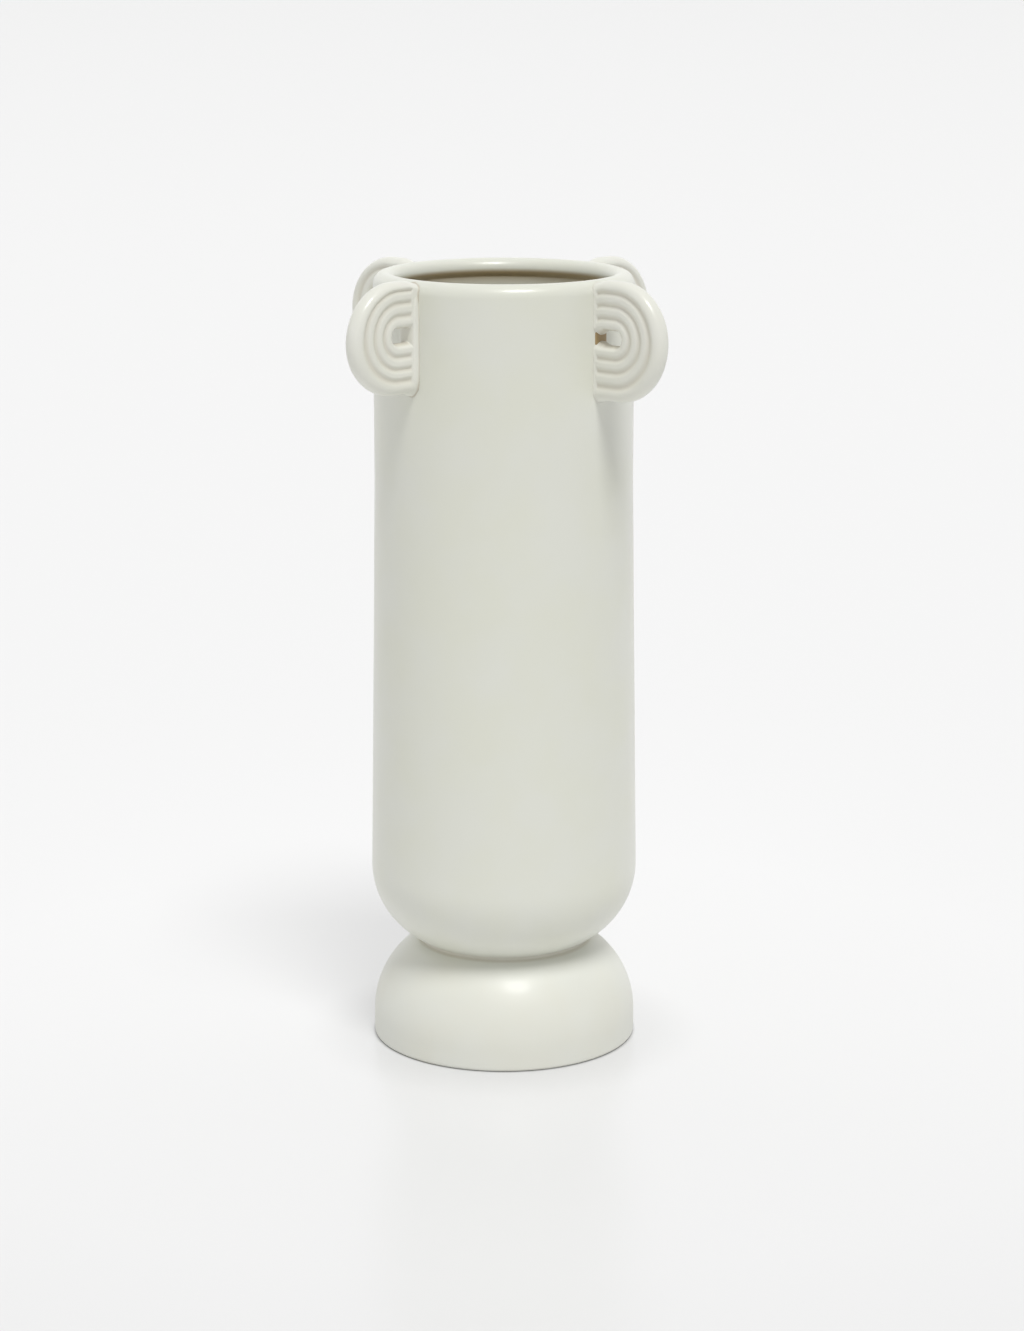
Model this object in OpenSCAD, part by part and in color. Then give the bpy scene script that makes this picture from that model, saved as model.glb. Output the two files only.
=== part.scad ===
// A tall footed vase: a round-bottomed vessel on a hollow domed foot,
// with four ribbed arch handles luted to the wall just under the rim.
// Millimetres. The origin is the centre of the ring that the vase stands on, +Z is up.

/* [Vessel] */
// Height of the vessel alone, from the lowest point of its round bottom to its rim
vessel_height = 222.1; // [180:0.1:280]
// Outer radius of the straight upper wall
neck_radius = 41.1; // [34:0.1:50]
// Outer radius at the widest level, just above the bottom corner
belly_radius = 43.1; // [35:0.1:52]
// Length of the straight upper wall, before the vessel begins to widen
straight_length = 65.6; // [50:0.1:100]
// Thickness of the wall and the bottom
wall = 5.2; // [4:0.1:6.5]
// Thickness of the rolled rim, whose inner side overhangs the wall
rim_thickness = 7.2; // [6.6:0.1:9]
// Outer radius of the round corner between wall and bottom
corner_radius = 26.9; // [20:0.1:34]
// Outer radius of the broad curve under the bottom
bottom_radius = 75.4; // [60:0.1:110]

/* [Foot] */
// Outer radius of the foot's upright wall
foot_radius = 42.7; // [35:0.1:52]
// Height of the upright wall, before the shoulder begins
foot_wall_height = 7.3; // [4:0.1:14]
// Radius of the shoulder's long lower curve
shoulder_radius = 28.8; // [22:0.1:36]
// Angle that the lower curve turns through, before the tighter upper one
shoulder_turn = 54; // [45:1:65]
// Radius of the shoulder's tighter upper curve
crown_radius = 14; // [12:0.1:18]
// Thickness of the foot's shell
foot_wall = 5.5; // [4:0.1:8]
// Radius of the crease, where the vessel's bottom meets the foot
crease_radius = 26.6; // [22:0.1:30]
// Radius of the round opening in the foot's crown, under the vessel
crown_opening = 18; // [12:0.1:20]
// Rounding of the outer edge that the foot stands on
foot_edge_round = 1; // [0.5:0.1:2]

/* [Handles] */
// Distance from the rim down to the middle of a handle
handle_drop = 17.3; // [14:0.1:24]
// Distance from the vessel's wall to the centre of a handle's round end
leg_length = 8.2; // [5:0.1:14]
// Half the height of the slot in the middle of a handle
slot_half_height = 2.3; // [2.1:0.1:4]
// Width of one rib
rib_pitch = 3.9; // [3.2:0.1:4.4]
// Thickness of a handle across its ribs
handle_thickness = 6; // [5:0.1:8]
// Depth of the grooves between the ribs
groove_depth = 0.9; // [0.5:0.1:1.2]

/* [Hidden] */
$fn = 96;
glaze = "#e6e4da";
// Ribs in one handle, and how much wider the two with a free edge are
rib_count = 4;
edge_rib_extra = 0.3;
// How far a cutting shape runs past what it cuts
past = 1;
// How far one round of an outline stands proud of the next, so that they cross and don't just touch
crossing = 0.02;

function direction(angle) = [cos(angle), sin(angle)];

// The shoulder's two curves: the centre of the upper one, and where the curves meet
shoulder_centre = [foot_radius - shoulder_radius, foot_wall_height];
shoulder_end = direction(shoulder_turn);
crown_centre = shoulder_centre + (shoulder_radius - crown_radius + crossing) * shoulder_end;
crown_edge = shoulder_centre + shoulder_radius * shoulder_end;
// Height of the foot's outer surface at the crease, on whichever curve it lies
crease_on_crown = crease_radius < crown_edge[0];
crease_centre = crease_on_crown ? crown_centre : shoulder_centre;
crease_curve = crease_on_crown ? crown_radius : shoulder_radius;
crease_z = crease_centre[1] + sqrt(pow(crease_curve, 2) - pow(crease_radius - crease_centre[0], 2));

// The vessel's bottom curves, first measured from its lowest point
corner_inset = belly_radius - corner_radius;
centre_gap = bottom_radius - corner_radius + crossing;
corner_rise = bottom_radius - sqrt(pow(centre_gap, 2) - pow(corner_inset, 2));
corner_angle = asin(corner_inset / centre_gap);
corner_start_radius = bottom_radius * sin(corner_angle);
crease_rise = crease_radius < corner_start_radius
    ? bottom_radius - sqrt(pow(bottom_radius, 2) - pow(crease_radius, 2))
    : corner_rise - sqrt(pow(corner_radius, 2) - pow(crease_radius - corner_inset, 2));
// The vessel sits at the height where its bottom passes through the crease
vessel_z = crease_z - crease_rise;
rim_z = vessel_z + vessel_height;
lip_radius = rim_thickness / 2;
lip_z = rim_z - lip_radius;
corner_centre = [corner_inset, vessel_z + corner_rise];
bottom_centre = [0, vessel_z + bottom_radius];
widen_z = rim_z - straight_length;

// The handles follow the rim and the wall
handle_z = rim_z - handle_drop;
handle_centre = neck_radius + leg_length;
handle_start = neck_radius - lip_radius / 2;
groove_half = handle_thickness / 2 - groove_depth;
handle_inner = slot_half_height;
handle_outer = slot_half_height + rib_count * rib_pitch;

// A slice of a disc between two angles less than 120 degrees apart
module sector(centre, radius, from, to) {
    intersection() {
        translate(centre) circle(radius);
        polygon([
            centre,
            centre + 2 * radius * direction(from),
            centre + 2 * radius * direction(to)
        ]);
    }
}

// Half outline of the vessel, from the axis to the wall, moved inwards by inset
module vessel_half(inset, top) {
    corner = corner_radius - inset;
    belly = [belly_radius - inset, corner_centre[1]];
    inside = [corner_centre[0], corner_centre[1] - corner / 2];
    polygon([
        [0, inside[1]],
        inside,
        belly,
        [neck_radius - inset, widen_z],
        [neck_radius - inset, top],
        [0, top]
    ]);
    intersection() {
        translate(corner_centre) circle(corner);
        translate([0, corner_centre[1]]) mirror([0, 1]) square([belly_radius, corner_radius]);
    }
    sector(bottom_centre, bottom_radius - inset, -90, corner_angle - 90);
}

// Half outline of the rim: a round bead that is flush with the wall outside and overhangs it inside
module rim_half() {
    middle = neck_radius - lip_radius;
    inner = neck_radius - rim_thickness;
    polygon([
        [neck_radius - wall, lip_z - rim_thickness],
        [neck_radius, lip_z - rim_thickness],
        [neck_radius, lip_z],
        [middle, lip_z + lip_radius / 2],
        [neck_radius - wall, lip_z]
    ]);
    intersection() {
        translate([middle, lip_z]) circle(lip_radius);
        polygon([
            [inner, lip_z - lip_radius],
            [middle, lip_z - lip_radius],
            [middle, lip_z],
            [neck_radius, lip_z],
            [neck_radius, rim_z],
            [inner, rim_z]
        ]);
    }
}

// The vessel's outer shape without its hollow, which everything joined to it is cut to
module vessel_outside() {
    rotate_extrude() {
        vessel_half(0, lip_z);
        rim_half();
    }
}

module vessel() {
    color(glaze) rotate_extrude() {
        difference() {
            vessel_half(0, lip_z);
            vessel_half(wall, lip_z + past);
        }
        rim_half();
    }
}

// Half outline of the domed foot, moved inwards by inset
module foot_half(inset) {
    polygon([
        [0, 0],
        [foot_radius - inset, 0],
        [foot_radius - inset, foot_wall_height],
        crown_centre,
        [0, crown_centre[1]]
    ]);
    sector(shoulder_centre, shoulder_radius - inset, 0, shoulder_turn);
    translate(crown_centre) circle(crown_radius - inset);
}

// The sharp corner outside the rounding of the standing edge
module foot_edge_waste() {
    start = foot_radius - foot_edge_round;
    difference() {
        translate([start, -past]) square([foot_edge_round + past, foot_edge_round + past]);
        translate([start, foot_edge_round]) circle(foot_edge_round);
        translate([start - past, 0]) square([past, foot_edge_round + past]);
    }
}

module pedestal_foot() {
    color(glaze) difference() {
        rotate_extrude() {
            difference() {
                foot_half(0);
                foot_half(foot_wall);
                translate([0, -past]) square([foot_radius - foot_wall, 2 * past]);
                square([crown_opening, rim_z]);
                foot_edge_waste();
            }
        }
        vessel_outside();
    }
}

// Cross-section of one handle: x runs out from the slot's centre, y across the thickness
module handle_section() {
    edge_rib = (rib_pitch + edge_rib_extra) / 2;
    middle_rib = (pow(rib_pitch / 2, 2) + pow(groove_depth, 2)) / (2 * groove_depth);
    edge_offset = handle_thickness / 2 - edge_rib;
    middle_offset = handle_thickness / 2 - middle_rib;
    translate([handle_inner + edge_rib, -groove_half])
        square([handle_outer - handle_inner - 2 * edge_rib, 2 * groove_half]);
    translate([handle_inner, -edge_offset]) square([handle_outer - handle_inner, 2 * edge_offset]);
    for (side = [-1, 1]) {
        for (x = [handle_inner + edge_rib, handle_outer - edge_rib]) {
            translate([x, side * edge_offset]) circle(edge_rib);
        }
        for (rib = [1 : rib_count - 2]) {
            translate([handle_inner + (rib + 0.5) * rib_pitch, side * middle_offset]) circle(middle_rib);
        }
    }
}

// One handle on the +X side: two straight legs and a round end, cut to the vessel's wall
module handle() {
    color(glaze) difference() {
        translate([handle_centre, 0, handle_z]) {
            rotate([90, 0, 0]) rotate([0, 0, -90]) rotate_extrude(angle = 180) handle_section();
            for (leg = [0, 1]) {
                mirror([0, 0, leg]) rotate([0, -90, 0])
                    linear_extrude(handle_centre - handle_start) handle_section();
            }
        }
        vessel_outside();
    }
}

module handle_front() { rotate([0, 0, -90]) handle(); }
module handle_right() { handle(); }
module handle_back() { rotate([0, 0, 90]) handle(); }
module handle_left() { rotate([0, 0, 180]) handle(); }

vessel();
pedestal_foot();
handle_front();
handle_right();
handle_back();
handle_left();
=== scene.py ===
# %% [markdown]
# # A footed vase with ribbed handles
#
# The real vase is pale glazed stoneware in six pieces: a tall vessel with a round bottom, a domed
# foot under it, and four ribbed arches luted to the wall just below the rim. Nothing moves.
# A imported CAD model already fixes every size, so this script starts by loading it. Each visible
# piece is then made again as a smooth, glazed surface in the same place, and stands in for its
# CAD node.

# %% Load the frame
import math

import bmesh
import bpy
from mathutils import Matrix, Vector


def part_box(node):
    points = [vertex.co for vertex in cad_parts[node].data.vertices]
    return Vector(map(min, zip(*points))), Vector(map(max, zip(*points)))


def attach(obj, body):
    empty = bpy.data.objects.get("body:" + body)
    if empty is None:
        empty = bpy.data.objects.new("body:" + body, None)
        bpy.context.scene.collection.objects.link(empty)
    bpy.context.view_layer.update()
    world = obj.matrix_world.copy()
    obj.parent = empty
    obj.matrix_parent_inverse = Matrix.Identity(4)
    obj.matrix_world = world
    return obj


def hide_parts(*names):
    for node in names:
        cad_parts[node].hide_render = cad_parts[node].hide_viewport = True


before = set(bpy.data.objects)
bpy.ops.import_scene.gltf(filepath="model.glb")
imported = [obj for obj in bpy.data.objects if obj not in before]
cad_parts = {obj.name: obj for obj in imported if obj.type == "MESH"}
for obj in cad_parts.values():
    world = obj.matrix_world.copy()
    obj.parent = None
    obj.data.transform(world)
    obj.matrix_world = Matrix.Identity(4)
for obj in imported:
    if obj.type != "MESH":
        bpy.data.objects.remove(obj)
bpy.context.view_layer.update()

MM = 0.001
vessel_low, vessel_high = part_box("vessel")
foot_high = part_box("pedestal_foot")[1]
arch_low, arch_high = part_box("handle_right")

# %% [markdown]
# ## Small helpers
#
# Both the shapes and the glaze are built from nodes. Written out by hand, each node takes several
# lines, so one helper adds a node, sets its options, and links or sets its inputs. Another sets
# the named inputs of a Geometry Nodes modifier, which go by hidden identifiers, and then turns the
# result into a plain mesh. Four kinds of node come up so often that their long names get short ones.

# %% Add a node, and bake a tree
MATH = "ShaderNodeMath"
VECTOR_MATH = "ShaderNodeVectorMath"
MAP_RANGE = "ShaderNodeMapRange"
STORE = "GeometryNodeStoreNamedAttribute"
WELD = 0.001 * MM


def add_node(tree, kind, settings=(), inputs=()):
    """Adds a node. Its inputs come by name in a dict, or in order in a tuple."""
    node = tree.nodes.new(kind)
    for name, value in dict(settings).items():
        setattr(node, name, value)
    for name, value in inputs.items() if isinstance(inputs, dict) else enumerate(inputs):
        if isinstance(value, bpy.types.Node):
            value = value.outputs[0]
        if isinstance(value, bpy.types.NodeSocket):
            tree.links.new(value, node.inputs[name])
        else:
            node.inputs[name].default_value = value
    return node


def put_in_scene(name, data):
    thing = bpy.data.objects.new(name, data)
    bpy.context.collection.objects.link(thing)
    return thing


def new_tree(name, sockets):
    """An empty Geometry Nodes tree with named inputs and one output, Result."""
    tree = bpy.data.node_groups.new(name, "GeometryNodeTree")
    for label, kind in sockets.items():
        tree.interface.new_socket(label, in_out="INPUT", socket_type="NodeSocket" + kind)
    tree.interface.new_socket("Result", in_out="OUTPUT", socket_type="NodeSocketGeometry")
    return tree


def bake_tree(name, tree, source, values):
    """Runs the tree on a source mesh and returns a new object that holds the result as a plain mesh."""
    carrier = put_in_scene(name + "_source", source)
    modifier = carrier.modifiers.new("make", "NODES")
    modifier.node_group = tree
    for item in tree.interface.items_tree:
        if item.in_out == "INPUT" and item.name in values:
            modifier[item.identifier] = values[item.name]
    graph = bpy.context.evaluated_depsgraph_get()
    mesh = bpy.data.meshes.new_from_object(carrier.evaluated_get(graph), depsgraph=graph)
    carrier.modifiers.remove(modifier)
    bpy.data.objects.remove(carrier)
    return put_in_scene(name, mesh)


def close_and_face_out(piece):
    """Caps any open end, turns every face outwards and shades the mesh smooth."""
    shell = bmesh.new()
    shell.from_mesh(piece.data)
    bmesh.ops.remove_doubles(shell, verts=shell.verts, dist=WELD)
    open_edges = [edge for edge in shell.edges if edge.is_boundary]
    if open_edges:
        bmesh.ops.holes_fill(shell, edges=open_edges, sides=0)
    bmesh.ops.recalc_face_normals(shell, faces=shell.faces)
    left_open = sum(not edge.is_manifold for edge in shell.edges)
    for face in shell.faces:
        face.smooth = True
    shell.to_mesh(piece.data)
    shell.free()
    print(piece.name, "faces:", len(piece.data.polygons), "open or doubled edges:", left_open)


# %% [markdown]
# ## Colours
#
# Hex colours are written as they look on a screen. A shader works in linear light, so each one is
# turned from sRGB to linear before it is used.

# %% From a hex colour to linear light
def linear(code):
    """A hex colour such as #ffffff, in linear light and with full opacity."""
    parts = [int(code[i:i + 2], 16) / 255 for i in (1, 3, 5)]
    curve = [p / 12.92 if p <= 0.04045 else ((p + 0.055) / 1.055) ** 2.4 for p in parts]
    return (*curve, 1.0)


# %% [markdown]
# ## The glaze: satin tin-white on buff stoneware
#
# The vase was fired once to make the clay hard, dipped in a white glaze, and fired again. The glaze
# melts to a thin glass with very fine crystals in it, so it is smooth and satin, not mirror-like.
# It runs thin under the rim, at the slots and in the seams, and the buff clay warms it there. The
# same warm brown also paints shade: under the rim, in the slots, in the crease over the foot, and in
# the grooves, which come out a little creamier than the ribs. The melt also leaves the surface
# faintly uneven, which softens every reflection.
#
# Painted textures could show all this, but they would need unwrapping. Instead each mesh carries an
# attribute for thin glaze and painted shade, from 0 on an open wall to 1 where the clay shows most or
# the painted shade is deepest, and the glaze mixes towards the warm brown by it. The other patterns
# are noise on Object coordinates, with their sizes in millimetres. One function makes all three
# glazes, because they differ only in shade and gloss.

# %% Make the glaze
GLASS_IOR = 1.5
CLOUD_SIZE = 22 * MM
CLOUD_EDGES = (0.35, 0.65)
RIPPLE_SIZE = 9 * MM
RIPPLE_DEPTH = 0.25 * MM
PATCH_SIZE = 35 * MM
GLOSS_SPREAD = 0.04
# The warm brown of thin glaze over buff clay, also used as painted shade.
THIN_GLAZE_AND_SHADE = "#a48c62"


def new_material(name):
    """An empty material, its tree, and the Object coordinates that every pattern is placed by."""
    material = bpy.data.materials.new(name)
    material.use_nodes = True
    material.node_tree.nodes.clear()
    place = add_node(material.node_tree, "ShaderNodeTexCoord").outputs["Object"]
    return material, material.node_tree, place


def glaze_material(name, shade, warm_shade, roughness, coat):
    material, tree, place = new_material(name)
    stain = add_node(tree, "ShaderNodeAttribute", {"attribute_name": "stain"}).outputs["Fac"]

    clouds = add_node(tree, "ShaderNodeTexNoise", (), {"Vector": place, "Scale": 1 / CLOUD_SIZE})
    cloud_range = add_node(tree, MAP_RANGE, (), {
        "Value": clouds.outputs["Fac"], "From Min": CLOUD_EDGES[0], "From Max": CLOUD_EDGES[1]})
    body = add_node(tree, "ShaderNodeMix", {"data_type": "RGBA"}, {
        "Factor": cloud_range, "A": linear(shade), "B": linear(warm_shade)})
    # Mixes towards the warm brown, for thin glaze and for painted shade.
    thinned_and_shaded = add_node(tree, "ShaderNodeMix", {"data_type": "RGBA"}, {
        "Factor": stain, "A": body.outputs["Result"], "B": linear(THIN_GLAZE_AND_SHADE)})

    ripple = add_node(tree, "ShaderNodeTexNoise", (), {
        "Vector": place, "Scale": 1 / RIPPLE_SIZE, "Detail": 3.0})
    bump = add_node(tree, "ShaderNodeBump", (), {
        "Height": ripple.outputs["Fac"], "Strength": 0.12, "Distance": RIPPLE_DEPTH})
    patches = add_node(tree, "ShaderNodeTexNoise", (), {"Vector": place, "Scale": 1 / PATCH_SIZE})
    satin = add_node(tree, MAP_RANGE, (), {
        "Value": patches.outputs["Fac"], "To Min": roughness - GLOSS_SPREAD,
        "To Max": roughness + GLOSS_SPREAD})
    shader = add_node(tree, "ShaderNodeBsdfPrincipled", (), {
        "Base Color": thinned_and_shaded.outputs["Result"], "Roughness": satin, "IOR": GLASS_IOR,
        "Coat Weight": coat, "Coat Roughness": 0.12, "Coat IOR": GLASS_IOR, "Normal": bump})
    add_node(tree, "ShaderNodeOutputMaterial", (), {"Surface": shader})
    return material


# The foot's and the handles' glazes are the vessel's glaze painted a little lighter: painted light.
vessel_glaze = glaze_material("satin_white_glaze", "#e5e6dc", "#e4e5d8", 0.38, 0.3)
foot_glaze = glaze_material("satin_white_foot_glaze_painted_lighter", "#e6e7de", "#e5e5da", 0.44, 0.1)
handle_glaze_painted_lighter = glaze_material("glossy_white_glaze_painted_lighter", "#ebebe2", "#e9e9de", 0.37, 0.25)
print("glazes:", vessel_glaze.name, foot_glaze.name, handle_glaze_painted_lighter.name)

# %% [markdown]
# ## Bare clay on the standing ring
#
# A potter wipes the glaze off the ring that the vase stands on, or it would fuse to the kiln shelf.
# What shows there is the fired buff clay: matt and faintly gritty, with grains of about half a
# millimetre. Grit that fine needs no geometry: one noise drives both the colour and the bump.

# %% Make the bare clay
GRAIN_SIZE = 0.6 * MM
GRAIN_DEPTH = 0.1 * MM


def bare_clay_material():
    material, tree, place = new_material("bare_buff_stoneware")
    grit = add_node(tree, "ShaderNodeTexNoise", (), {
        "Vector": place, "Scale": 1 / GRAIN_SIZE, "Detail": 3.0}).outputs["Fac"]
    colour = add_node(tree, "ShaderNodeMix", {"data_type": "RGBA"}, {
        "Factor": grit, "A": linear("#cdbb9c"), "B": linear("#dfd0b4")})
    bump = add_node(tree, "ShaderNodeBump", (), {
        "Height": grit, "Strength": 0.5, "Distance": GRAIN_DEPTH})
    shader = add_node(tree, "ShaderNodeBsdfPrincipled", (), {
        "Base Color": colour.outputs["Result"], "Roughness": 0.85, "IOR": GLASS_IOR, "Normal": bump})
    add_node(tree, "ShaderNodeOutputMaterial", (), {"Surface": shader})
    return material


bare_clay = bare_clay_material()
print("clay:", bare_clay.name)

# %% [markdown]
# ## Outlines from arcs and lines
#
# A thrown or cast pot is round, so half of its outline says everything about it. Each outline here
# is a list of points (distance from the axis, height), made of straight runs and arcs. Every point
# also has its share of thin glaze and painted shade, which the glaze reads.

# %% Arcs and outlines
def arc(centre, radii, start, end, step_mm=0.45):
    """Points along an arc or an oval arc from one angle to another, in degrees, a step apart."""
    across, up = radii if isinstance(radii, tuple) else (radii, radii)
    sweep = math.radians(end - start)
    steps = max(6, math.ceil(abs(sweep) * max(across, up) / (step_mm * MM)))
    angles = [math.radians(start) + sweep * i / steps for i in range(steps + 1)]
    return [(centre[0] + across * math.cos(a), centre[1] + up * math.sin(a)) for a in angles]


def run(start, end, step_mm=3.0):
    """Points along a straight run, without its two ends."""
    length = math.dist(start, end)
    steps = max(1, math.ceil(length / (step_mm * MM)))
    return [(start[0] + (end[0] - start[0]) * i / steps, start[1] + (end[1] - start[1]) * i / steps)
            for i in range(1, steps)]


def outline_mesh(name, points, thin_glaze_and_shade_values):
    """A mesh of loose points in the XZ plane that carries the thin glaze and painted shade of each."""
    mesh = bpy.data.meshes.new(name)
    mesh.from_pydata([(radius, 0, height) for radius, height in points], [], [])
    mesh.attributes.new("stain", "FLOAT", "POINT").data.foreach_set("value", thin_glaze_and_shade_values)
    return mesh


# %% [markdown]
# ## The potter's wheel
#
# A curve could be spun with the Screw modifier, but a Geometry Nodes tree can do more: it lays out a
# flat grid with one row for each outline point, bends the grid round the axis, and lets the wall
# waver by up to two tenths of a millimetre, as a hand-finished pot does. The seam, and any pole on
# the axis, is then merged shut. The same tree turns the vessel and the foot.

# %% Build the wheel tree
LUMP_SIZE = 60 * MM


def wheel_tree():
    tree = new_tree("potters_wheel", {
        "Outline": "Geometry", "Steps round": "Int", "Waver": "Float", "Seed": "Float",
        "Glaze": "Material", "Bare below": "Float", "Bare clay": "Material"})
    given = add_node(tree, "NodeGroupInput").outputs
    rows = add_node(tree, "GeometryNodeAttributeDomainSize", {"component": "MESH"}, (given["Outline"],))
    columns = add_node(tree, MATH, {"operation": "ADD"}, (given["Steps round"], 1.0))
    grid = add_node(tree, "GeometryNodeMeshGrid", (), {
        "Size X": 1.0, "Size Y": 1.0, "Vertices X": columns, "Vertices Y": rows.outputs["Point Count"]})
    flat = add_node(tree, "ShaderNodeSeparateXYZ", (), (add_node(tree, "GeometryNodeInputPosition"),))
    last_row = add_node(tree, MATH, {"operation": "SUBTRACT"}, (rows.outputs["Point Count"], 1.0))
    along = add_node(tree, MAP_RANGE, (), {
        "Value": flat.outputs["Y"], "From Min": -0.5, "From Max": 0.5, "To Max": last_row})
    row = add_node(tree, MATH, {"operation": "ROUND"}, (along,))
    angle = add_node(tree, MAP_RANGE, (), {
        "Value": flat.outputs["X"], "From Min": -0.5, "From Max": 0.5, "To Max": 2 * math.pi})

    point = add_node(tree, "GeometryNodeSampleIndex", {"data_type": "FLOAT_VECTOR"}, {
        "Geometry": given["Outline"], "Value": add_node(tree, "GeometryNodeInputPosition"), "Index": row})
    thin_glaze_and_shade_field = add_node(tree, "GeometryNodeInputNamedAttribute", {"data_type": "FLOAT"}, {
        "Name": "stain"})
    stain = add_node(tree, "GeometryNodeSampleIndex", {"data_type": "FLOAT"}, {
        "Geometry": given["Outline"], "Value": thin_glaze_and_shade_field, "Index": row})
    turned = add_node(tree, "ShaderNodeVectorRotate", {"rotation_type": "Z_AXIS"}, {
        "Vector": point, "Angle": angle})
    lumps = add_node(tree, "ShaderNodeTexNoise", {"noise_dimensions": "4D"}, {
        "Vector": turned, "W": given["Seed"], "Scale": 1 / LUMP_SIZE, "Detail": 1.0})
    least = add_node(tree, MATH, {"operation": "SUBTRACT"}, (1.0, given["Waver"]))
    swell = add_node(tree, MAP_RANGE, (), {
        "Value": lumps.outputs["Fac"], "To Min": 1.0, "To Max": least})
    outward = add_node(tree, "ShaderNodeCombineXYZ", (), {"X": swell, "Y": swell, "Z": 1.0})
    wavered = add_node(tree, VECTOR_MATH, {"operation": "MULTIPLY"}, (turned, outward))

    tinted = add_node(tree, STORE, {"data_type": "FLOAT", "domain": "POINT"}, {
        "Geometry": grid, "Name": "stain", "Value": stain})
    bent = add_node(tree, "GeometryNodeSetPosition", (), {"Geometry": tinted, "Position": wavered})
    welded = add_node(tree, "GeometryNodeMergeByDistance", (), {"Geometry": bent, "Distance": WELD})
    smooth = add_node(tree, "GeometryNodeSetShadeSmooth", (), {"Geometry": welded})
    real = add_node(tree, "GeometryNodeRealizeInstances", (), {"Geometry": smooth})
    coated = add_node(tree, "GeometryNodeSetMaterial", (), {"Geometry": real, "Material": given["Glaze"]})
    height = add_node(tree, "ShaderNodeSeparateXYZ", (), (add_node(tree, "GeometryNodeInputPosition"),))
    low = add_node(tree, "FunctionNodeCompare", {"operation": "LESS_THAN"}, (
        height.outputs["Z"], given["Bare below"]))
    wiped = add_node(tree, "GeometryNodeSetMaterial", (), {
        "Geometry": coated, "Selection": low, "Material": given["Bare clay"]})
    add_node(tree, "NodeGroupOutput", (), (wiped,))
    return tree


wheel = wheel_tree()
print("the wheel takes:", [item.name for item in wheel.interface.items_tree if item.in_out == "INPUT"])

# %% [markdown]
# ## The vessel
#
# The real vessel was probably cast: liquid clay poured in a plaster mould leaves an even wall. The
# straight wall widens a little towards the bottom, turns through a round corner into a broad shallow
# bottom, and ends above in a rolled rim. Inside, that rim overhangs the wall by about 1 mm. Light from
# above can't reach under it, which shades the wall below the rim. The dark brown line there is also
# painted into the glaze: partly thin glaze, partly painted shade.

# %% Draw the vessel's outline
vessel_z = vessel_low[2]
rim_z = vessel_high[2]
belly = vessel_high[0]
neck = 41.1 * MM
wall = 5.2 * MM
widen_z = rim_z - 65.6 * MM
corner_radius = 26.9 * MM
bottom_radius = 75.4 * MM

corner_inset = belly - corner_radius
centre_gap = bottom_radius - corner_radius
corner_z = vessel_z + bottom_radius - math.sqrt(centre_gap ** 2 - corner_inset ** 2)
corner_turn = math.degrees(math.asin(corner_inset / centre_gap))
corner_centre = (corner_inset, corner_z)
bottom_centre = (0.0, vessel_z + bottom_radius)

rim_outer = (3.9 * MM, 4.2 * MM)
rim_inner = (3.3 * MM, 3.3 * MM)
crest = neck - rim_outer[0]
hollow = neck - wall
thicker_at_rim = 1 * MM
thinning_length = 25 * MM


def vessel_outline():
    outside = arc(bottom_centre, bottom_radius, -90, corner_turn - 90, 1.0)
    outside += arc(corner_centre, corner_radius, corner_turn - 90, 0, 1.0)[1:]
    outside += run((belly, corner_z), (neck, widen_z)) + [(neck, widen_z)]
    outside += run((neck, widen_z), (neck, rim_z - rim_outer[1]))
    outside += arc((crest, rim_z - rim_outer[1]), rim_outer, 0, 90, 0.3)
    bead_centre = (crest, rim_z - rim_inner[1])
    inside = arc(bead_centre, rim_inner, 90, 225, 0.3)[1:]
    undercut = (hollow - thicker_at_rim, inside[-1][1] - 0.5 * MM)
    even_wall = (hollow, undercut[1] - thinning_length)
    inside += run(inside[-1], undercut, 0.3) + [undercut]
    inside += run(undercut, even_wall) + [even_wall]
    straight_end = (hollow, widen_z)
    inside += run(inside[-1], straight_end) + [straight_end]
    inside += run(straight_end, (belly - wall, corner_z))
    inside += arc(corner_centre, corner_radius - wall, 0, corner_turn - 90, 1.5)
    inside += arc(bottom_centre, bottom_radius - wall, corner_turn - 90, -90, 1.5)[1:]
    return outside, inside


outside, inside = vessel_outline()
print("outline points:", len(outside), "outside,", len(inside), "inside")

# %% [markdown]
# The thin glaze and painted shade are set along the outline. Outside there is none, apart from
# painted shade in the crease over the foot. Inside there is a brown band just under the rim: partly
# thin glaze, partly painted shade under the overhanging rim. The band's four depths below the rim
# say where it starts, is full, starts to fade and has faded to a trace.

# %% Turn the vessel
def ease(value, low, high):
    """0 below low, 1 above high, and a smooth step between."""
    part = min(max((value - low) / (high - low), 0.0), 1.0)
    return part * part * (3 - 2 * part)


crease_radius = 26.6 * MM
crease_width = 3 * MM
# Painted shade in the crease where the vessel meets the foot.
CREASE_SHADE = 0.1
# The brown band under the rim: partly thin glaze, partly painted shade under the overhang.
band = [depth * MM for depth in (2.8, 4.4, 5.4, 7.2)]
BAND_THIN_GLAZE_AND_SHADE = 0.9
BAND_FADE = 0.85
outer_crease_shade = [CREASE_SHADE * ease(crease_radius + crease_width - radius, 0, crease_width)
               if height < corner_z else 0.0 for radius, height in outside]
inner_thin_glaze_and_shade = [BAND_THIN_GLAZE_AND_SHADE * ease(rim_z - height, *band[:2]) - BAND_FADE * ease(rim_z - height, *band[2:])
               for radius, height in inside]
vessel_mesh = outline_mesh("vessel_outline", outside + inside, outer_crease_shade + inner_thin_glaze_and_shade)
vessel = bake_tree("vessel_glazed", wheel, vessel_mesh, {
    "Steps round": 288, "Waver": 0.004, "Seed": 3.0, "Glaze": vessel_glaze,
    "Bare below": -1.0, "Bare clay": bare_clay})
close_and_face_out(vessel)

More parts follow.
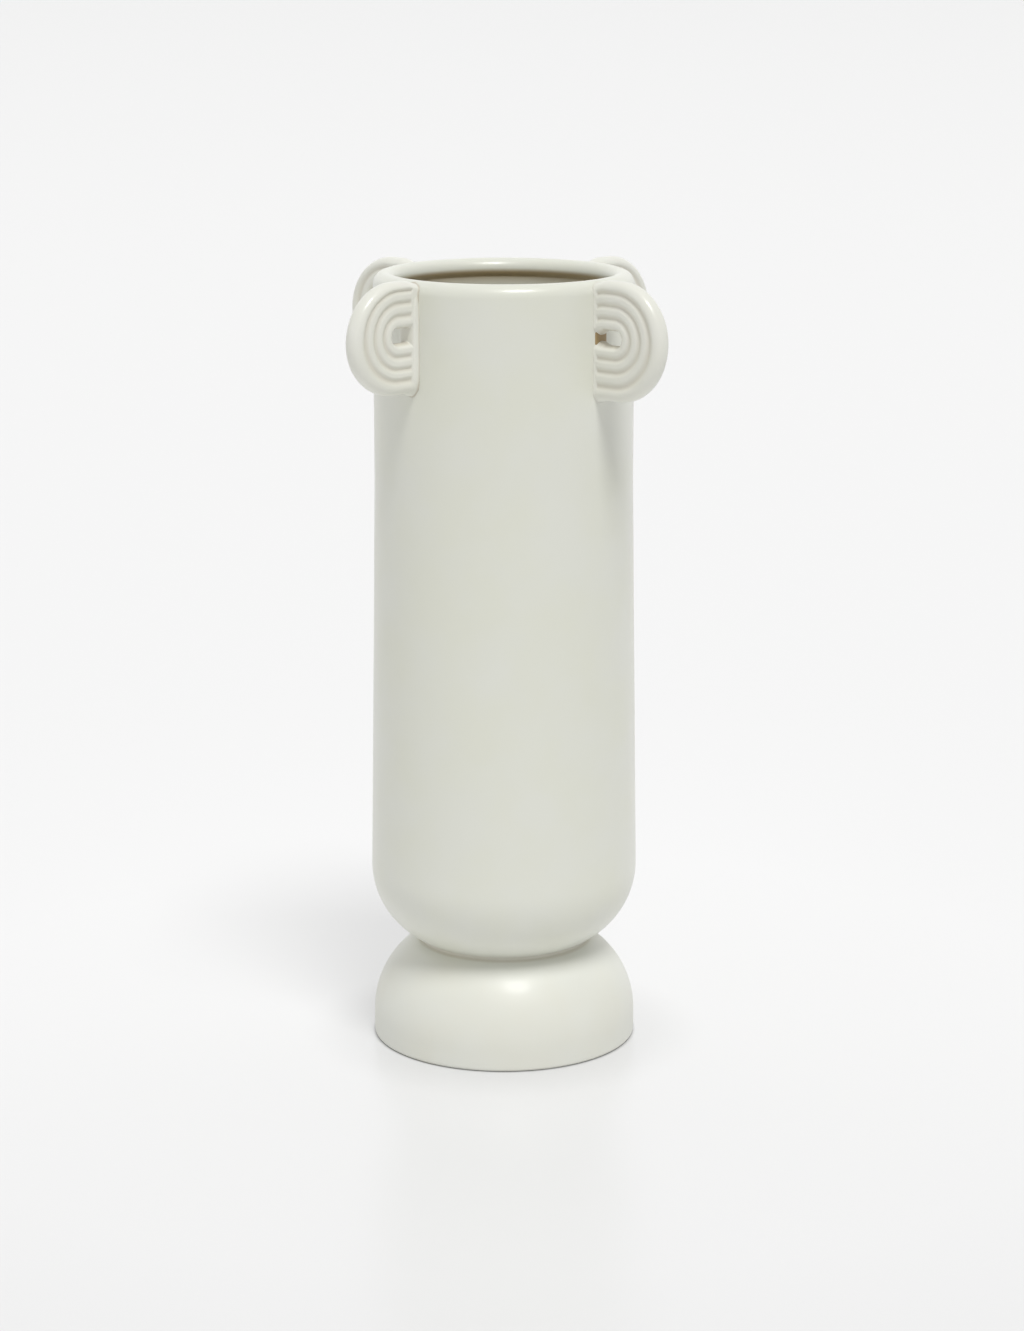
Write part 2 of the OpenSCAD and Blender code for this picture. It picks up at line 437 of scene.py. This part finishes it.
# %% [markdown]
# ## The foot
#
# The foot is an upturned bowl: an upright wall, a long curve over the shoulder and a tighter one to
# the crown, where the vessel's bottom sits in it. It is hollow, like most cast feet, because a thick
# lump of clay cracks in the kiln. A thread of slip fills the crease between the two, so the outline
# has a small hollow arc there, which touches both curves.

# %% Draw and turn the foot
foot_radius = foot_high[0]
foot_wall_height = 7.3 * MM
foot_wall = 5.5 * MM
shoulder_radius = 28.8 * MM
shoulder_turn = 54
crown_radius = 14 * MM
crown_opening = 18 * MM
fillet = 0.6 * MM
shoulder_centre = (foot_radius - shoulder_radius, foot_wall_height)
crown_reach = shoulder_radius - crown_radius
crown_centre = (shoulder_centre[0] + crown_reach * math.cos(math.radians(shoulder_turn)),
                shoulder_centre[1] + crown_reach * math.sin(math.radians(shoulder_turn)))


def circle_meeting(a, reach_a, b, reach_b):
    """The point that lies reach_a from a and reach_b from b, on the side away from the axis."""
    gap = math.dist(a, b)
    along = (gap ** 2 + reach_a ** 2 - reach_b ** 2) / (2 * gap)
    off = math.sqrt(reach_a ** 2 - along ** 2)
    way = ((b[0] - a[0]) / gap, (b[1] - a[1]) / gap)
    middle = (a[0] + way[0] * along, a[1] + way[1] * along)
    return (middle[0] + abs(way[1]) * off, middle[1] - way[0] * off * math.copysign(1, way[1]))


def angle_from(a, b):
    return math.degrees(math.atan2(b[1] - a[1], b[0] - a[0]))


def foot_outline():
    slip = circle_meeting(crown_centre, crown_radius + fillet, corner_centre, corner_radius + fillet)
    touch_foot = angle_from(crown_centre, slip)
    edge = 1.0 * MM
    inner_edge = 0.6 * MM
    bare = foot_radius - foot_wall
    shape = arc((foot_radius - edge, edge), edge, -90, 0, 0.15)
    shape += run((foot_radius, edge), (foot_radius, foot_wall_height), 1.5)
    shape += arc(shoulder_centre, shoulder_radius, 0, shoulder_turn, 0.8)
    shape += arc(crown_centre, crown_radius, shoulder_turn, touch_foot, 0.6)[1:]
    start = angle_from(slip, crown_centre)
    end = angle_from(slip, corner_centre) % 360 - 360 * (start < 0)
    shape += arc(slip, fillet, start, end, 0.1)[1:]
    seat_rise = math.sqrt(bottom_radius ** 2 - crown_opening ** 2)
    seat = (crown_opening, bottom_centre[1] - seat_rise + 0.2 * MM)
    shape += run(shape[-1], seat, 1.5) + [seat]
    high = crown_radius - foot_wall
    inner_end = math.degrees(math.acos((crown_opening - crown_centre[0]) / high))
    shape += arc(crown_centre, high, inner_end, shoulder_turn, 0.8)
    shape += arc(shoulder_centre, shoulder_radius - foot_wall, shoulder_turn, 0, 1.0)[1:]
    shape += run((bare, foot_wall_height), (bare, inner_edge), 1.5)
    shape += arc((bare + inner_edge, inner_edge), inner_edge, 180, 270, 0.15)
    shape += run(shape[-1], shape[0], 1.0) + [shape[0]]
    return shape, slip


# Painted shade in the crease where the vessel sits in the foot, along the slip fillet.
FILLET_SHADE = 0.22
crease_shade_reach = 2.2 * fillet
foot_points, slip_centre = foot_outline()
foot_crease_shade = [FILLET_SHADE * ease(crease_shade_reach - math.dist(slip_centre, point), 0, 1.3 * fillet)
              for point in foot_points]
foot = bake_tree("foot_glazed", wheel, outline_mesh("foot_outline", foot_points, foot_crease_shade), {
    "Steps round": 256, "Waver": 0.003, "Seed": 8.0, "Glaze": foot_glaze,
    "Bare below": 0.02 * MM, "Bare clay": bare_clay})
close_and_face_out(foot)
print("slip fillet at radius, mm:", round(slip_centre[0] / MM, 1), "height:", round(slip_centre[1] / MM, 1))

# %% [markdown]
# ## The handles
#
# Each handle is a flat arch: four round ribs side by side, bent in a U, with a narrow slot between
# its legs. It was pressed or cast in one piece, then luted on with slip, which leaves a smooth strip
# beside the wall, a fine crease, and small dabs where the slip was pushed in at the corners.
#
# The ribs could be modelled by hand, but the same cross-section runs all the way round, so this is a
# sweep. The section is a closed loop: a rounded bar whose two faces dip at each groove. The path is
# the line of slot centres, with the direction that the section points in.

# %% Draw one rib section
slot_half = 2.3 * MM
rib_pitch = 3.9 * MM
rib_count = 4
arch_outer = slot_half + rib_count * rib_pitch
half_thick = (arch_high[1] - arch_low[1]) / 2
groove_depth = 0.55 * MM
GROOVE_SHARPNESS = 2
edge_inner = 1.8 * MM
edge_outer = 2.8 * MM
EDGE_POWER = 0.9


def groove(rho):
    """How deep the grooves cut at a distance from the slot's centre: narrow dips between round ribs."""
    turns = (rho - slot_half) / rib_pitch
    if not 0.5 < turns < rib_count - 0.5:
        return 0.0
    return groove_depth * ((1 + math.cos(2 * math.pi * turns)) / 2) ** GROOVE_SHARPNESS


def section_loop():
    """Points (rho, across) round the section, from the slot's edge along one face and back on the other."""
    def corner(edge, width, way, degrees):
        turn = math.radians(degrees)
        return (edge + way * width * (1 - math.cos(turn) ** EDGE_POWER),
                half_thick * math.sin(turn) ** EDGE_POWER)

    steps = 72
    flat_start, flat_end = slot_half + edge_inner, arch_outer - edge_outer
    face = [corner(slot_half, edge_inner, 1, degrees) for degrees in range(0, 90, 9)]
    face += [(flat_start + (flat_end - flat_start) * i / steps, half_thick) for i in range(steps + 1)]
    face += [corner(arch_outer, edge_outer, -1, degrees) for degrees in range(81, 0, -9)]
    face.append((arch_outer, 0.0))
    return face + [(rho, -across) for rho, across in reversed(face[:-1])]


# %% [markdown]
# Each point of the section also carries what the tree needs to know about it: which way it faces,
# how deep its groove is, its share of thin glaze and painted shade (painted shade in the grooves, and
# most at the slot, as thin glaze and painted shade), and two weights. One weight says how far the
# point follows when the ribs drift from the outline, and the other how far it follows when the
# lower edge sags. Both happen when soft clay is handled, and they make the four handles a little
# different.

# %% Store the section as a mesh
# Painted shade in the grooves between the ribs.
GROOVE_SHADE = 0.2
# At the slot's edges: partly thin glaze, partly painted shade of the shaded slot.
SLOT_THIN_GLAZE_AND_SHADE = 0.3
slot_shade_width = 0.9 * MM
drift_free, drift_full = 0.3 * MM, 5 * MM
sag_start = 9 * MM


def section_mesh():
    loop = section_loop()
    points = []
    carried = {"fill": [], "drift": [], "sag": [], "stain": []}
    facings = []
    for i, (rho, across) in enumerate(loop):
        side = 0 if abs(across) < 0.5 * half_thick else math.copysign(1, across)
        depth = groove(rho) * abs(side)
        before, after = loop[i - 1 if i else -2], loop[i + 1 if i + 1 < len(loop) else 1]
        facing = Vector((before[1] - after[1], after[0] - before[0], 0)).normalized()
        points.append((rho, across - side * depth, 0))
        carried["fill"].append(depth)
        carried["drift"].append(ease(arch_outer - rho, drift_free, drift_full))
        carried["sag"].append(ease(rho, sag_start, arch_outer))
        # Painted shade in the grooves; thin glaze and painted shade at the slot.
        at_slot = ease(slot_half + slot_shade_width - rho, 0, slot_shade_width)
        carried["stain"].append(max(GROOVE_SHADE * depth / groove_depth, SLOT_THIN_GLAZE_AND_SHADE * at_slot))
        facings += [*facing]
    mesh = bpy.data.meshes.new("rib_section")
    mesh.from_pydata(points, [], [])
    for name, values in carried.items():
        mesh.attributes.new(name, "FLOAT", "POINT").data.foreach_set("value", values)
    mesh.attributes.new("facing", "FLOAT_VECTOR", "POINT").data.foreach_set("vector", facings)
    return mesh


section = put_in_scene("rib_section", section_mesh())
print("section points:", len(section.data.vertices), "thickness, mm:", round(2 * half_thick / MM, 2))

# %% [markdown]
# The path runs out along the lower leg, round the bend and back along the upper leg. It starts
# inside the wall, so no end ever shows, and the upper leg dips a little to sink in the rim.

# %% Draw the arch's path
arch_z = (arch_low[2] + arch_high[2]) / 2
bend_centre = arch_high[0] - arch_outer
path_start = neck - 2.5 * MM
ribs_start = neck + 3.6 * MM
dip_start = neck + 4 * MM
dip_length = 6.5 * MM
RIM_DIP = 1.4 * MM
near_steps, leg_steps, bend_steps = 40, 10, 72


def path_mesh():
    near = [path_start + (ribs_start - path_start) * i / near_steps for i in range(near_steps)]
    far = [ribs_start + (bend_centre - ribs_start) * i / leg_steps for i in range(leg_steps)]
    stations = near + far
    bend = [math.radians(-90 + 180 * i / bend_steps) for i in range(bend_steps + 1)]
    points = [(s, 0, arch_z) for s in stations] + [(bend_centre, 0, arch_z)] * len(bend)
    points += [(s, 0, arch_z - RIM_DIP * ease(dip_start - s, 0, dip_length))
               for s in reversed(stations)]
    outs = [0, 0, -1] * len(stations)
    for a in bend:
        outs += [math.cos(a), 0, math.sin(a)]
    outs += [0, 0, 1] * len(stations)
    mesh = bpy.data.meshes.new("arch_path")
    mesh.from_pydata(points, [], [])
    mesh.attributes.new("out", "FLOAT_VECTOR", "POINT").data.foreach_set("vector", outs)
    return mesh


print("path points:", len(path_mesh().vertices), "bend centre, mm:", round(bend_centre / MM, 1))

# %% [markdown]
# ## Slip at the joints
#
# Slip is liquid clay, and the potter's glue. Where a handle meets the wall some of it is squeezed
# out. On two of the handles it makes a rounded bar along the wall, which also closes the wall end of
# the slot. On the other two there is only a thin skin of it in the slot, coloured the full warm brown:
# partly thin glaze, partly painted shade for the dark cavity at the slot's wall end. Both are rings
# of points, squarish in section, that shrink to nothing at the two ends. The tree below also swells
# the clay near three dabs: below and above the slot, and at the handle's lower corner.

# %% Make the bars and the dabs of slip
SINK = 1.5 * MM
SQUARENESS = 0.55
END_TAPER = 8


def slip_bar(name, width, half_across, low, high, stain):
    """A rounded bar of slip that stands on the wall and tapers at both ends."""
    rows, around = 48, 32
    points = []
    for i in range(rows + 1):
        along = 2 * i / rows - 1
        full = (1 - abs(along) ** END_TAPER) ** 0.5
        height = (low + high) / 2 + (high - low) / 2 * along
        for j in range(around):
            a = 2 * math.pi * j / around
            out, across = [math.copysign(abs(part) ** SQUARENESS, part)
                           for part in (math.cos(a), math.sin(a))]
            radial = neck - SINK + (width + SINK) * (1 + out) / 2 * full
            points.append((radial, half_across * across * full, height))
    faces = [(i * around + j, i * around + (j + 1) % around, (i + 1) * around + (j + 1) % around,
              (i + 1) * around + j) for i in range(rows) for j in range(around)]
    mesh = bpy.data.meshes.new(name)
    mesh.from_pydata(points, [], faces)
    mesh.attributes.new("slip", "FLOAT", "POINT").data.foreach_set("value", [stain] * len(points))
    return put_in_scene(name, mesh)


# The skin in the slot is full brown: partly thin glaze, partly painted shade in the cavity.
shaded_slot_skin = slip_bar("slip_in_slot", 0.4 * MM, half_thick - 0.4 * MM,
                     arch_z - slot_half - 1 * MM, arch_z + slot_half + 1 * MM, 1.0)
broad_bar = slip_bar("broad_slip_bar", 2.2 * MM, half_thick + 0.5 * MM,
                     arch_z - arch_outer + 0.6 * MM, arch_z + arch_outer - 2.4 * MM, 0.0)
bars = {"handle_right": shaded_slot_skin, "handle_back": shaded_slot_skin,
        "handle_left": broad_bar, "handle_front": broad_bar}
dab_places = [(neck + 0.6 * MM, 0, arch_z + height) for height in
              (-slot_half, slot_half, 0.4 * MM - arch_outer)]
dab_mesh = bpy.data.meshes.new("slip_dabs")
dab_mesh.from_pydata(dab_places, [], [])
dabs = put_in_scene("slip_dabs", dab_mesh)
print("slip bars, points each:", [len(bar.data.vertices) for bar in (shaded_slot_skin, broad_bar)])

# %% [markdown]
# ## The arch tree, first half: the sweep
#
# The grid has a column for each path point and a row for each section point. Every corner looks up
# both. Its place is the path point, plus the section's two distances along and across. The drift and
# the sag are added by their weights, and what the second half needs is stored on the mesh.

# %% Look up the path and the section, and place the corners
def read_along(tree, source, index, name, kind):
    """The value of a named attribute, or the position, at one point of a source mesh."""
    if name == "position":
        field = add_node(tree, "GeometryNodeInputPosition")
    else:
        field = add_node(tree, "GeometryNodeInputNamedAttribute", {"data_type": kind}, {"Name": name})
    return add_node(tree, "GeometryNodeSampleIndex", {"data_type": kind}, {
        "Geometry": source, "Value": field, "Index": index})


def point_index(tree, coordinate, source):
    """The source's point count, and a grid coordinate from -0.5 to 0.5 as the number of a point."""
    size = add_node(tree, "GeometryNodeAttributeDomainSize", {"component": "MESH"}, (source,))
    count = size.outputs["Point Count"]
    last = add_node(tree, MATH, {"operation": "SUBTRACT"}, (count, 1.0))
    place = add_node(tree, MAP_RANGE, (), {
        "Value": coordinate, "From Min": -0.5, "From Max": 0.5, "To Max": last})
    return count, add_node(tree, MATH, {"operation": "ROUND"}, (place,))


def sweep(tree, path, section_shape, drift, sag):
    flat = add_node(tree, "ShaderNodeSeparateXYZ", (), (add_node(tree, "GeometryNodeInputPosition"),))
    columns, path_index = point_index(tree, flat.outputs["X"], path)
    rows, section_index = point_index(tree, flat.outputs["Y"], section_shape)
    grid = add_node(tree, "GeometryNodeMeshGrid", (), {
        "Size X": 1.0, "Size Y": 1.0, "Vertices X": columns, "Vertices Y": rows})
    out = read_along(tree, path, path_index, "out", "FLOAT_VECTOR")
    centre = read_along(tree, path, path_index, "position", "FLOAT_VECTOR")
    weight = {name: read_along(tree, section_shape, section_index, name, "FLOAT")
              for name in ("fill", "drift", "sag", "stain")}

    turned = {}
    for name in ("position", "facing"):
        flat_value = read_along(tree, section_shape, section_index, name, "FLOAT_VECTOR")
        parts = add_node(tree, "ShaderNodeSeparateXYZ", (), (flat_value,))
        along = add_node(tree, VECTOR_MATH, {"operation": "SCALE"}, {
            0: out, "Scale": parts.outputs["X"]})
        across = add_node(tree, "ShaderNodeCombineXYZ", (), {"Y": parts.outputs["Y"]})
        turned[name] = add_node(tree, VECTOR_MATH, {"operation": "ADD"}, (along, across))

    downward = add_node(tree, "ShaderNodeSeparateXYZ", (), (out,))
    lower = add_node(tree, MATH, {"operation": "MINIMUM"}, (downward.outputs["Z"], 0.0))
    sagging = add_node(tree, MATH, {"operation": "MULTIPLY"}, (lower, weight["sag"]))
    sagging = add_node(tree, MATH, {"operation": "MULTIPLY"}, (sagging, sag))
    sunk = add_node(tree, "ShaderNodeCombineXYZ", (), {"Z": sagging})
    drifting = add_node(tree, VECTOR_MATH, {"operation": "SCALE"}, {
        0: drift, "Scale": weight["drift"]})
    place = centre
    for shift in (turned["position"], drifting, sunk):
        place = add_node(tree, VECTOR_MATH, {"operation": "ADD"}, (place, shift))

    carried = grid
    for name, value, kind in (("facing", turned["facing"], "FLOAT_VECTOR"),
                              ("fill", weight["fill"], "FLOAT"), ("stain", weight["stain"], "FLOAT")):
        carried = add_node(tree, STORE, {"data_type": kind, "domain": "POINT"}, {
            "Geometry": carried, "Name": name, "Value": value})
    return add_node(tree, "GeometryNodeSetPosition", (), {"Geometry": carried, "Position": place})


# %% [markdown]
# ## The arch tree, second half: the joint
#
# The bar of slip joins the arch first. The arch's surface is then pushed out along the way it faces.
# Close to the vessel it flares into a fillet, whose shape is a quarter of a circle. Next to it the
# grooves are filled, which leaves the plain strip. By each dab it swells. The glaze is thin in the
# seam, so the stain rises there. The arch is then turned to its place and its doubles are merged.

# %% Build the arch tree
STRIP_FADE = 0.7 * MM
SEAM_EDGES = (0.1 * MM, 0.6 * MM)
DAB_RISE = 0.33


def arch_tree():
    tree = new_tree("ribbed_arch", {
        "Path": "Geometry", "Section": "Object", "Vessel": "Object", "Dabs": "Object", "Bar": "Object",
        "Turn": "Float", "Strip": "Float", "Fillet": "Float", "Drift": "Vector", "Sag": "Float",
        "Dab size": "Float", "Seam stain": "Float", "Glaze": "Material"})
    given = add_node(tree, "NodeGroupInput").outputs
    shape = {name: add_node(tree, "GeometryNodeObjectInfo", (), {"Object": given[name]}).outputs["Geometry"]
             for name in ("Section", "Vessel", "Dabs", "Bar")}
    swept = sweep(tree, given["Path"], shape["Section"], given["Drift"], given["Sag"])
    joined = add_node(tree, "GeometryNodeJoinGeometry", (), (swept,))
    tree.links.new(shape["Bar"], joined.inputs[0])

    here = {name: add_node(tree, "GeometryNodeInputNamedAttribute", {
        "data_type": "FLOAT_VECTOR" if name == "facing" else "FLOAT"}, {"Name": name})
        for name in ("facing", "fill", "stain", "slip")}
    to_wall = add_node(tree, "GeometryNodeProximity", {"target_element": "FACES"}, (shape["Vessel"],))
    to_dab = add_node(tree, "GeometryNodeProximity", {"target_element": "POINTS"}, (shape["Dabs"],))
    to_wall, to_dab = to_wall.outputs["Distance"], to_dab.outputs["Distance"]

    gap = add_node(tree, MATH, {"operation": "SUBTRACT"}, (given["Fillet"], to_wall))
    reach = add_node(tree, MATH, {"operation": "MAXIMUM"}, (gap, 0.0))
    squares = [add_node(tree, MATH, {"operation": "MULTIPLY"}, (side, side))
               for side in (given["Fillet"], reach)]
    difference = add_node(tree, MATH, {"operation": "SUBTRACT"}, squares)
    root = add_node(tree, MATH, {"operation": "SQRT"}, (difference,))
    flare = add_node(tree, MATH, {"operation": "SUBTRACT"}, (given["Fillet"], root))
    strip_end = add_node(tree, MATH, {"operation": "ADD"}, (given["Strip"], STRIP_FADE))
    plain = add_node(tree, MAP_RANGE, {"interpolation_type": "SMOOTHSTEP"}, {
        "Value": to_wall, "From Min": given["Strip"], "From Max": strip_end,
        "To Min": 1.0, "To Max": 0.0})
    filling = add_node(tree, MATH, {"operation": "MULTIPLY"}, (here["fill"], plain))
    dab_height = add_node(tree, MATH, {"operation": "MULTIPLY"}, (given["Dab size"], DAB_RISE))
    swell = add_node(tree, MAP_RANGE, {"interpolation_type": "SMOOTHSTEP"}, {
        "Value": to_dab, "From Min": 0.0, "From Max": given["Dab size"],
        "To Min": dab_height, "To Max": 0.0})
    push = add_node(tree, MATH, {"operation": "ADD"}, (flare, filling))
    push = add_node(tree, MATH, {"operation": "ADD"}, (push, swell))
    offset = add_node(tree, VECTOR_MATH, {"operation": "SCALE"}, {
        0: here["facing"], "Scale": push})

    seam = add_node(tree, MAP_RANGE, {"interpolation_type": "SMOOTHSTEP"}, {
        "Value": to_wall, "From Min": SEAM_EDGES[0], "From Max": SEAM_EDGES[1],
        "To Min": given["Seam stain"], "To Max": 0.0})
    ribbed = add_node(tree, MATH, {"operation": "SUBTRACT"}, (1.0, plain))
    stain = add_node(tree, MATH, {"operation": "MULTIPLY"}, (here["stain"], ribbed))
    # The slot skin's brown, partly thin glaze and partly painted shade, comes in by its own attribute.
    for other in (seam, here["slip"]):
        stain = add_node(tree, MATH, {"operation": "MAXIMUM"}, (stain, other))
    tinted = add_node(tree, STORE, {"data_type": "FLOAT", "domain": "POINT"}, {
        "Geometry": joined, "Name": "stain", "Value": stain})
    pushed = add_node(tree, "GeometryNodeSetPosition", (), {"Geometry": tinted, "Offset": offset})
    turned = add_node(tree, "ShaderNodeVectorRotate", {"rotation_type": "Z_AXIS"}, {
        "Vector": add_node(tree, "GeometryNodeInputPosition"), "Angle": given["Turn"]})
    placed = add_node(tree, "GeometryNodeSetPosition", (), {"Geometry": pushed, "Position": turned})
    welded = add_node(tree, "GeometryNodeMergeByDistance", (), {"Geometry": placed, "Distance": WELD})
    smooth = add_node(tree, "GeometryNodeSetShadeSmooth", (), {"Geometry": welded})
    real = add_node(tree, "GeometryNodeRealizeInstances", (), {"Geometry": smooth})
    coated = add_node(tree, "GeometryNodeSetMaterial", (), {"Geometry": real, "Material": given["Glaze"]})
    add_node(tree, "NodeGroupOutput", (), (coated,))
    return tree


arch = arch_tree()
print("the arch takes:", [item.name for item in arch.interface.items_tree if item.in_out == "INPUT"])

# %% [markdown]
# Four arches stand at right angles. They were set by hand. The strip of slip is broad on two, the ribs
# drifted up on all four, and the lower edge sagged on two and rose on two, all by about a millimetre
# or less. Each row below gives the quarter turns, the strip, the drift out and up, the sag of the
# lower edge (all in millimetres), and the seam's stain.

# %% Sweep the four handles
dab_size = 3.4 * MM
habits = {
    "handle_right": (0, 0.5, (-0.5, 0.3), 1.2, 0.08),
    "handle_back": (1, 1.2, (-0.3, 0.5), 0.3, 0.1),
    "handle_left": (2, 2.2, (-0.4, 0.8), -0.4, 0.3),
    "handle_front": (3, 2.2, (-0.6, 1.3), -1.1, 0.4),
}
handles = {}
for node, (quarter, strip, (drift_out, drift_up), sag, seam_stain) in habits.items():
    piece = bake_tree(node + "_glazed", arch, path_mesh(), {
        "Section": section, "Vessel": vessel, "Dabs": dabs, "Bar": bars[node],
        "Turn": quarter * math.pi / 2, "Strip": strip * MM, "Fillet": fillet,
        "Drift": (drift_out * MM, 0.0, drift_up * MM), "Sag": sag * MM, "Dab size": dab_size,
        "Seam stain": seam_stain, "Glaze": handle_glaze_painted_lighter})
    close_and_face_out(piece)
    handles[node] = piece
for helper in (section, dabs, shaded_slot_skin, broad_bar):
    bpy.data.objects.remove(helper)

# %% [markdown]
# ## Hand the pieces to the frame
#
# Each piece rides on the object's one body and replaces its CAD node. The CAD solids stay in the
# scene, hidden.

# %% Register the pieces
for piece, node, slot in ((vessel, "vessel", "vessel_glaze"), (foot, "pedestal_foot", "foot_glaze")):
    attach(piece, "root")
    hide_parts(node)
for node, piece in handles.items():
    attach(piece, "root")
    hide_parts(node)
print("pieces:", 2 + len(handles))

# %% [markdown]
# ## The table top
#
# The vase stands on a sheet of white acrylic that is lit from below, so it glows a little, and the
# shadow on it stays faint. The glow falls with the logarithm of the distance, which keeps the floor
# one even white to the eye, because a satin sheet mirrors more of the room the flatter it is seen.
# Just round the foot it is a fifth weaker, which paints a soft shade there, and under the foot there
# is none, which paints the contact shadow as a fine dark line.

# %% Lay the floor
GLOW_AT_1_M = 0.285
GLOW_FALL = 0.05
GLOW_NEAREST = 0.2
# Painted shade round the foot, and a painted contact shadow under its edge.
FOOT_SHADE_RINGS = ((0.98 * foot_radius, 1.02 * foot_radius, 0.0), (foot_radius, 1.6 * foot_radius, 0.8))
SHEET_SHADE = 0.45
FLOOR_HALF = 30.0


def floor_material():
    """White acrylic. Each ring of painted shade round the foot gives where the glow starts to rise, where
    it is full, and its least.
    """
    material, tree, place = new_material("white_acrylic_sheet")
    away = add_node(tree, VECTOR_MATH, {"operation": "LENGTH"}, (place,)).outputs["Value"]
    beyond = add_node(tree, MATH, {"operation": "MAXIMUM"}, (away, GLOW_NEAREST))
    logarithm = add_node(tree, MATH, {"operation": "LOGARITHM"}, (beyond, math.e))
    glow = add_node(tree, MATH, {"operation": "MULTIPLY_ADD"}, (logarithm, -GLOW_FALL, GLOW_AT_1_M))
    for start, end, low in FOOT_SHADE_RINGS:
        foot_shade = add_node(tree, MAP_RANGE, {"interpolation_type": "SMOOTHSTEP"}, {
            "Value": away, "From Min": start, "From Max": end, "To Min": low, "To Max": 1.0})
        glow = add_node(tree, MATH, {"operation": "MULTIPLY"}, (glow, foot_shade))
    shader = add_node(tree, "ShaderNodeBsdfPrincipled", (), {
        "Base Color": (SHEET_SHADE, SHEET_SHADE, SHEET_SHADE, 1), "Roughness": 0.27,
        "Emission Color": (1, 1, 1, 1), "Emission Strength": glow})
    add_node(tree, "ShaderNodeOutputMaterial", (), {"Surface": shader})
    return material


corners = [(-FLOOR_HALF, -FLOOR_HALF, 0), (FLOOR_HALF, -FLOOR_HALF, 0),
           (FLOOR_HALF, FLOOR_HALF, 0), (-FLOOR_HALF, FLOOR_HALF, 0)]
floor_mesh = bpy.data.meshes.new("floor")
floor_mesh.from_pydata(corners, [], [(0, 1, 2, 3)])
floor_mesh.materials.append(floor_material())
floor = put_in_scene("floor", floor_mesh)
print("floor, m across:", 2 * FLOOR_HALF)

# %% [markdown]
# ## The light
#
# The room is pale near the horizon and darker above. A broad white screen stands high behind the
# vase. It lights the rim, the tops of the handles and the two edges of the wall, which would
# otherwise look grey against the white. The room and the screen are one world shader: the first goes
# by a direction's height, and the second by how near the direction is to the screen's middle.
#
# A lamp 20 degrees wide, high in front and a little to the right, is the main light, and a very weak
# one fills the left. Both are suns, because a sun lights the floor evenly all the way back.

# %% Light the room
VIEW_AZIMUTH = 43.5
ROOM_EDGES = (0.26, 0.64)
ROOM_LOW = 0.55
ROOM_HIGH = 0.22
SCREEN_ELEVATION = 40
SCREEN_EDGES = (0.25, 0.85)
SCREEN_GLOW = 0.5


def compass(azimuth, elevation):
    """The direction of a point in the room, by its azimuth from the front towards the right."""
    a, e = math.radians(azimuth), math.radians(elevation)
    return Vector((math.sin(a) * math.cos(e), -math.cos(a) * math.cos(e), math.sin(e)))


def sun(name, azimuth, elevation, width, strength):
    lamp = bpy.data.lights.new(name, "SUN")
    lamp.angle = math.radians(width)
    lamp.energy = strength
    thing = put_in_scene(name, lamp)
    thing.location = compass(azimuth, elevation)
    thing.rotation_euler = thing.location.to_track_quat("Z", "Y").to_euler()


def light_world():
    world = bpy.data.worlds.new("pale_room")
    world.use_nodes = True
    tree = world.node_tree
    direction = add_node(tree, "ShaderNodeTexCoord").outputs["Generated"]
    height = add_node(tree, "ShaderNodeSeparateXYZ", (), (direction,))
    room = add_node(tree, MAP_RANGE, {"interpolation_type": "SMOOTHSTEP"}, {
        "Value": height.outputs["Z"], "From Min": ROOM_EDGES[0], "From Max": ROOM_EDGES[1],
        "To Min": ROOM_LOW, "To Max": ROOM_HIGH})
    toward_screen = add_node(tree, VECTOR_MATH, {"operation": "DOT_PRODUCT"}, (
        direction, compass(VIEW_AZIMUTH + 180, SCREEN_ELEVATION)))
    screen = add_node(tree, MAP_RANGE, {"interpolation_type": "SMOOTHSTEP"}, {
        "Value": toward_screen.outputs["Value"], "From Min": SCREEN_EDGES[0],
        "From Max": SCREEN_EDGES[1], "To Min": 0.0, "To Max": SCREEN_GLOW})
    total = add_node(tree, MATH, {"operation": "ADD"}, (room, screen))
    background = tree.nodes["Background"]
    background.inputs["Color"].default_value = (1, 1, 1, 1)
    tree.links.new(total.outputs[0], background.inputs["Strength"])
    bpy.context.scene.world = world


light_world()
sun("key_lamp", VIEW_AZIMUTH + 20, elevation=62, width=20, strength=1.84)
sun("left_fill", VIEW_AZIMUTH - 60, elevation=30, width=60, strength=0.19)

# %% [markdown]
# ## The camera
#
# The camera stands a metre away, 11 cm higher than the rim, and looks down by 13 degrees. A lens of
# 87 mm keeps the wall's two edges nearly parallel. The Standard view keeps the whites clean.

# %% Place the camera
LENS = 87.1
TILT_DOWN = 13.437
distance, aside, eye = 1.0089, 0.0026, 0.3639
camera_data = bpy.data.cameras.new("camera")
camera_data.lens = LENS
camera_data.clip_end = 200
camera = put_in_scene("camera", camera_data)
turn = math.radians(VIEW_AZIMUTH)
camera.location = (distance * math.sin(turn) + aside * math.cos(turn),
                   -distance * math.cos(turn) + aside * math.sin(turn), eye)
camera.rotation_euler = (math.radians(90 - TILT_DOWN), 0, turn)
scene = bpy.context.scene
scene.camera = camera
scene.view_settings.view_transform = "Standard"
print("camera at, m:", [round(part, 3) for part in camera.location])
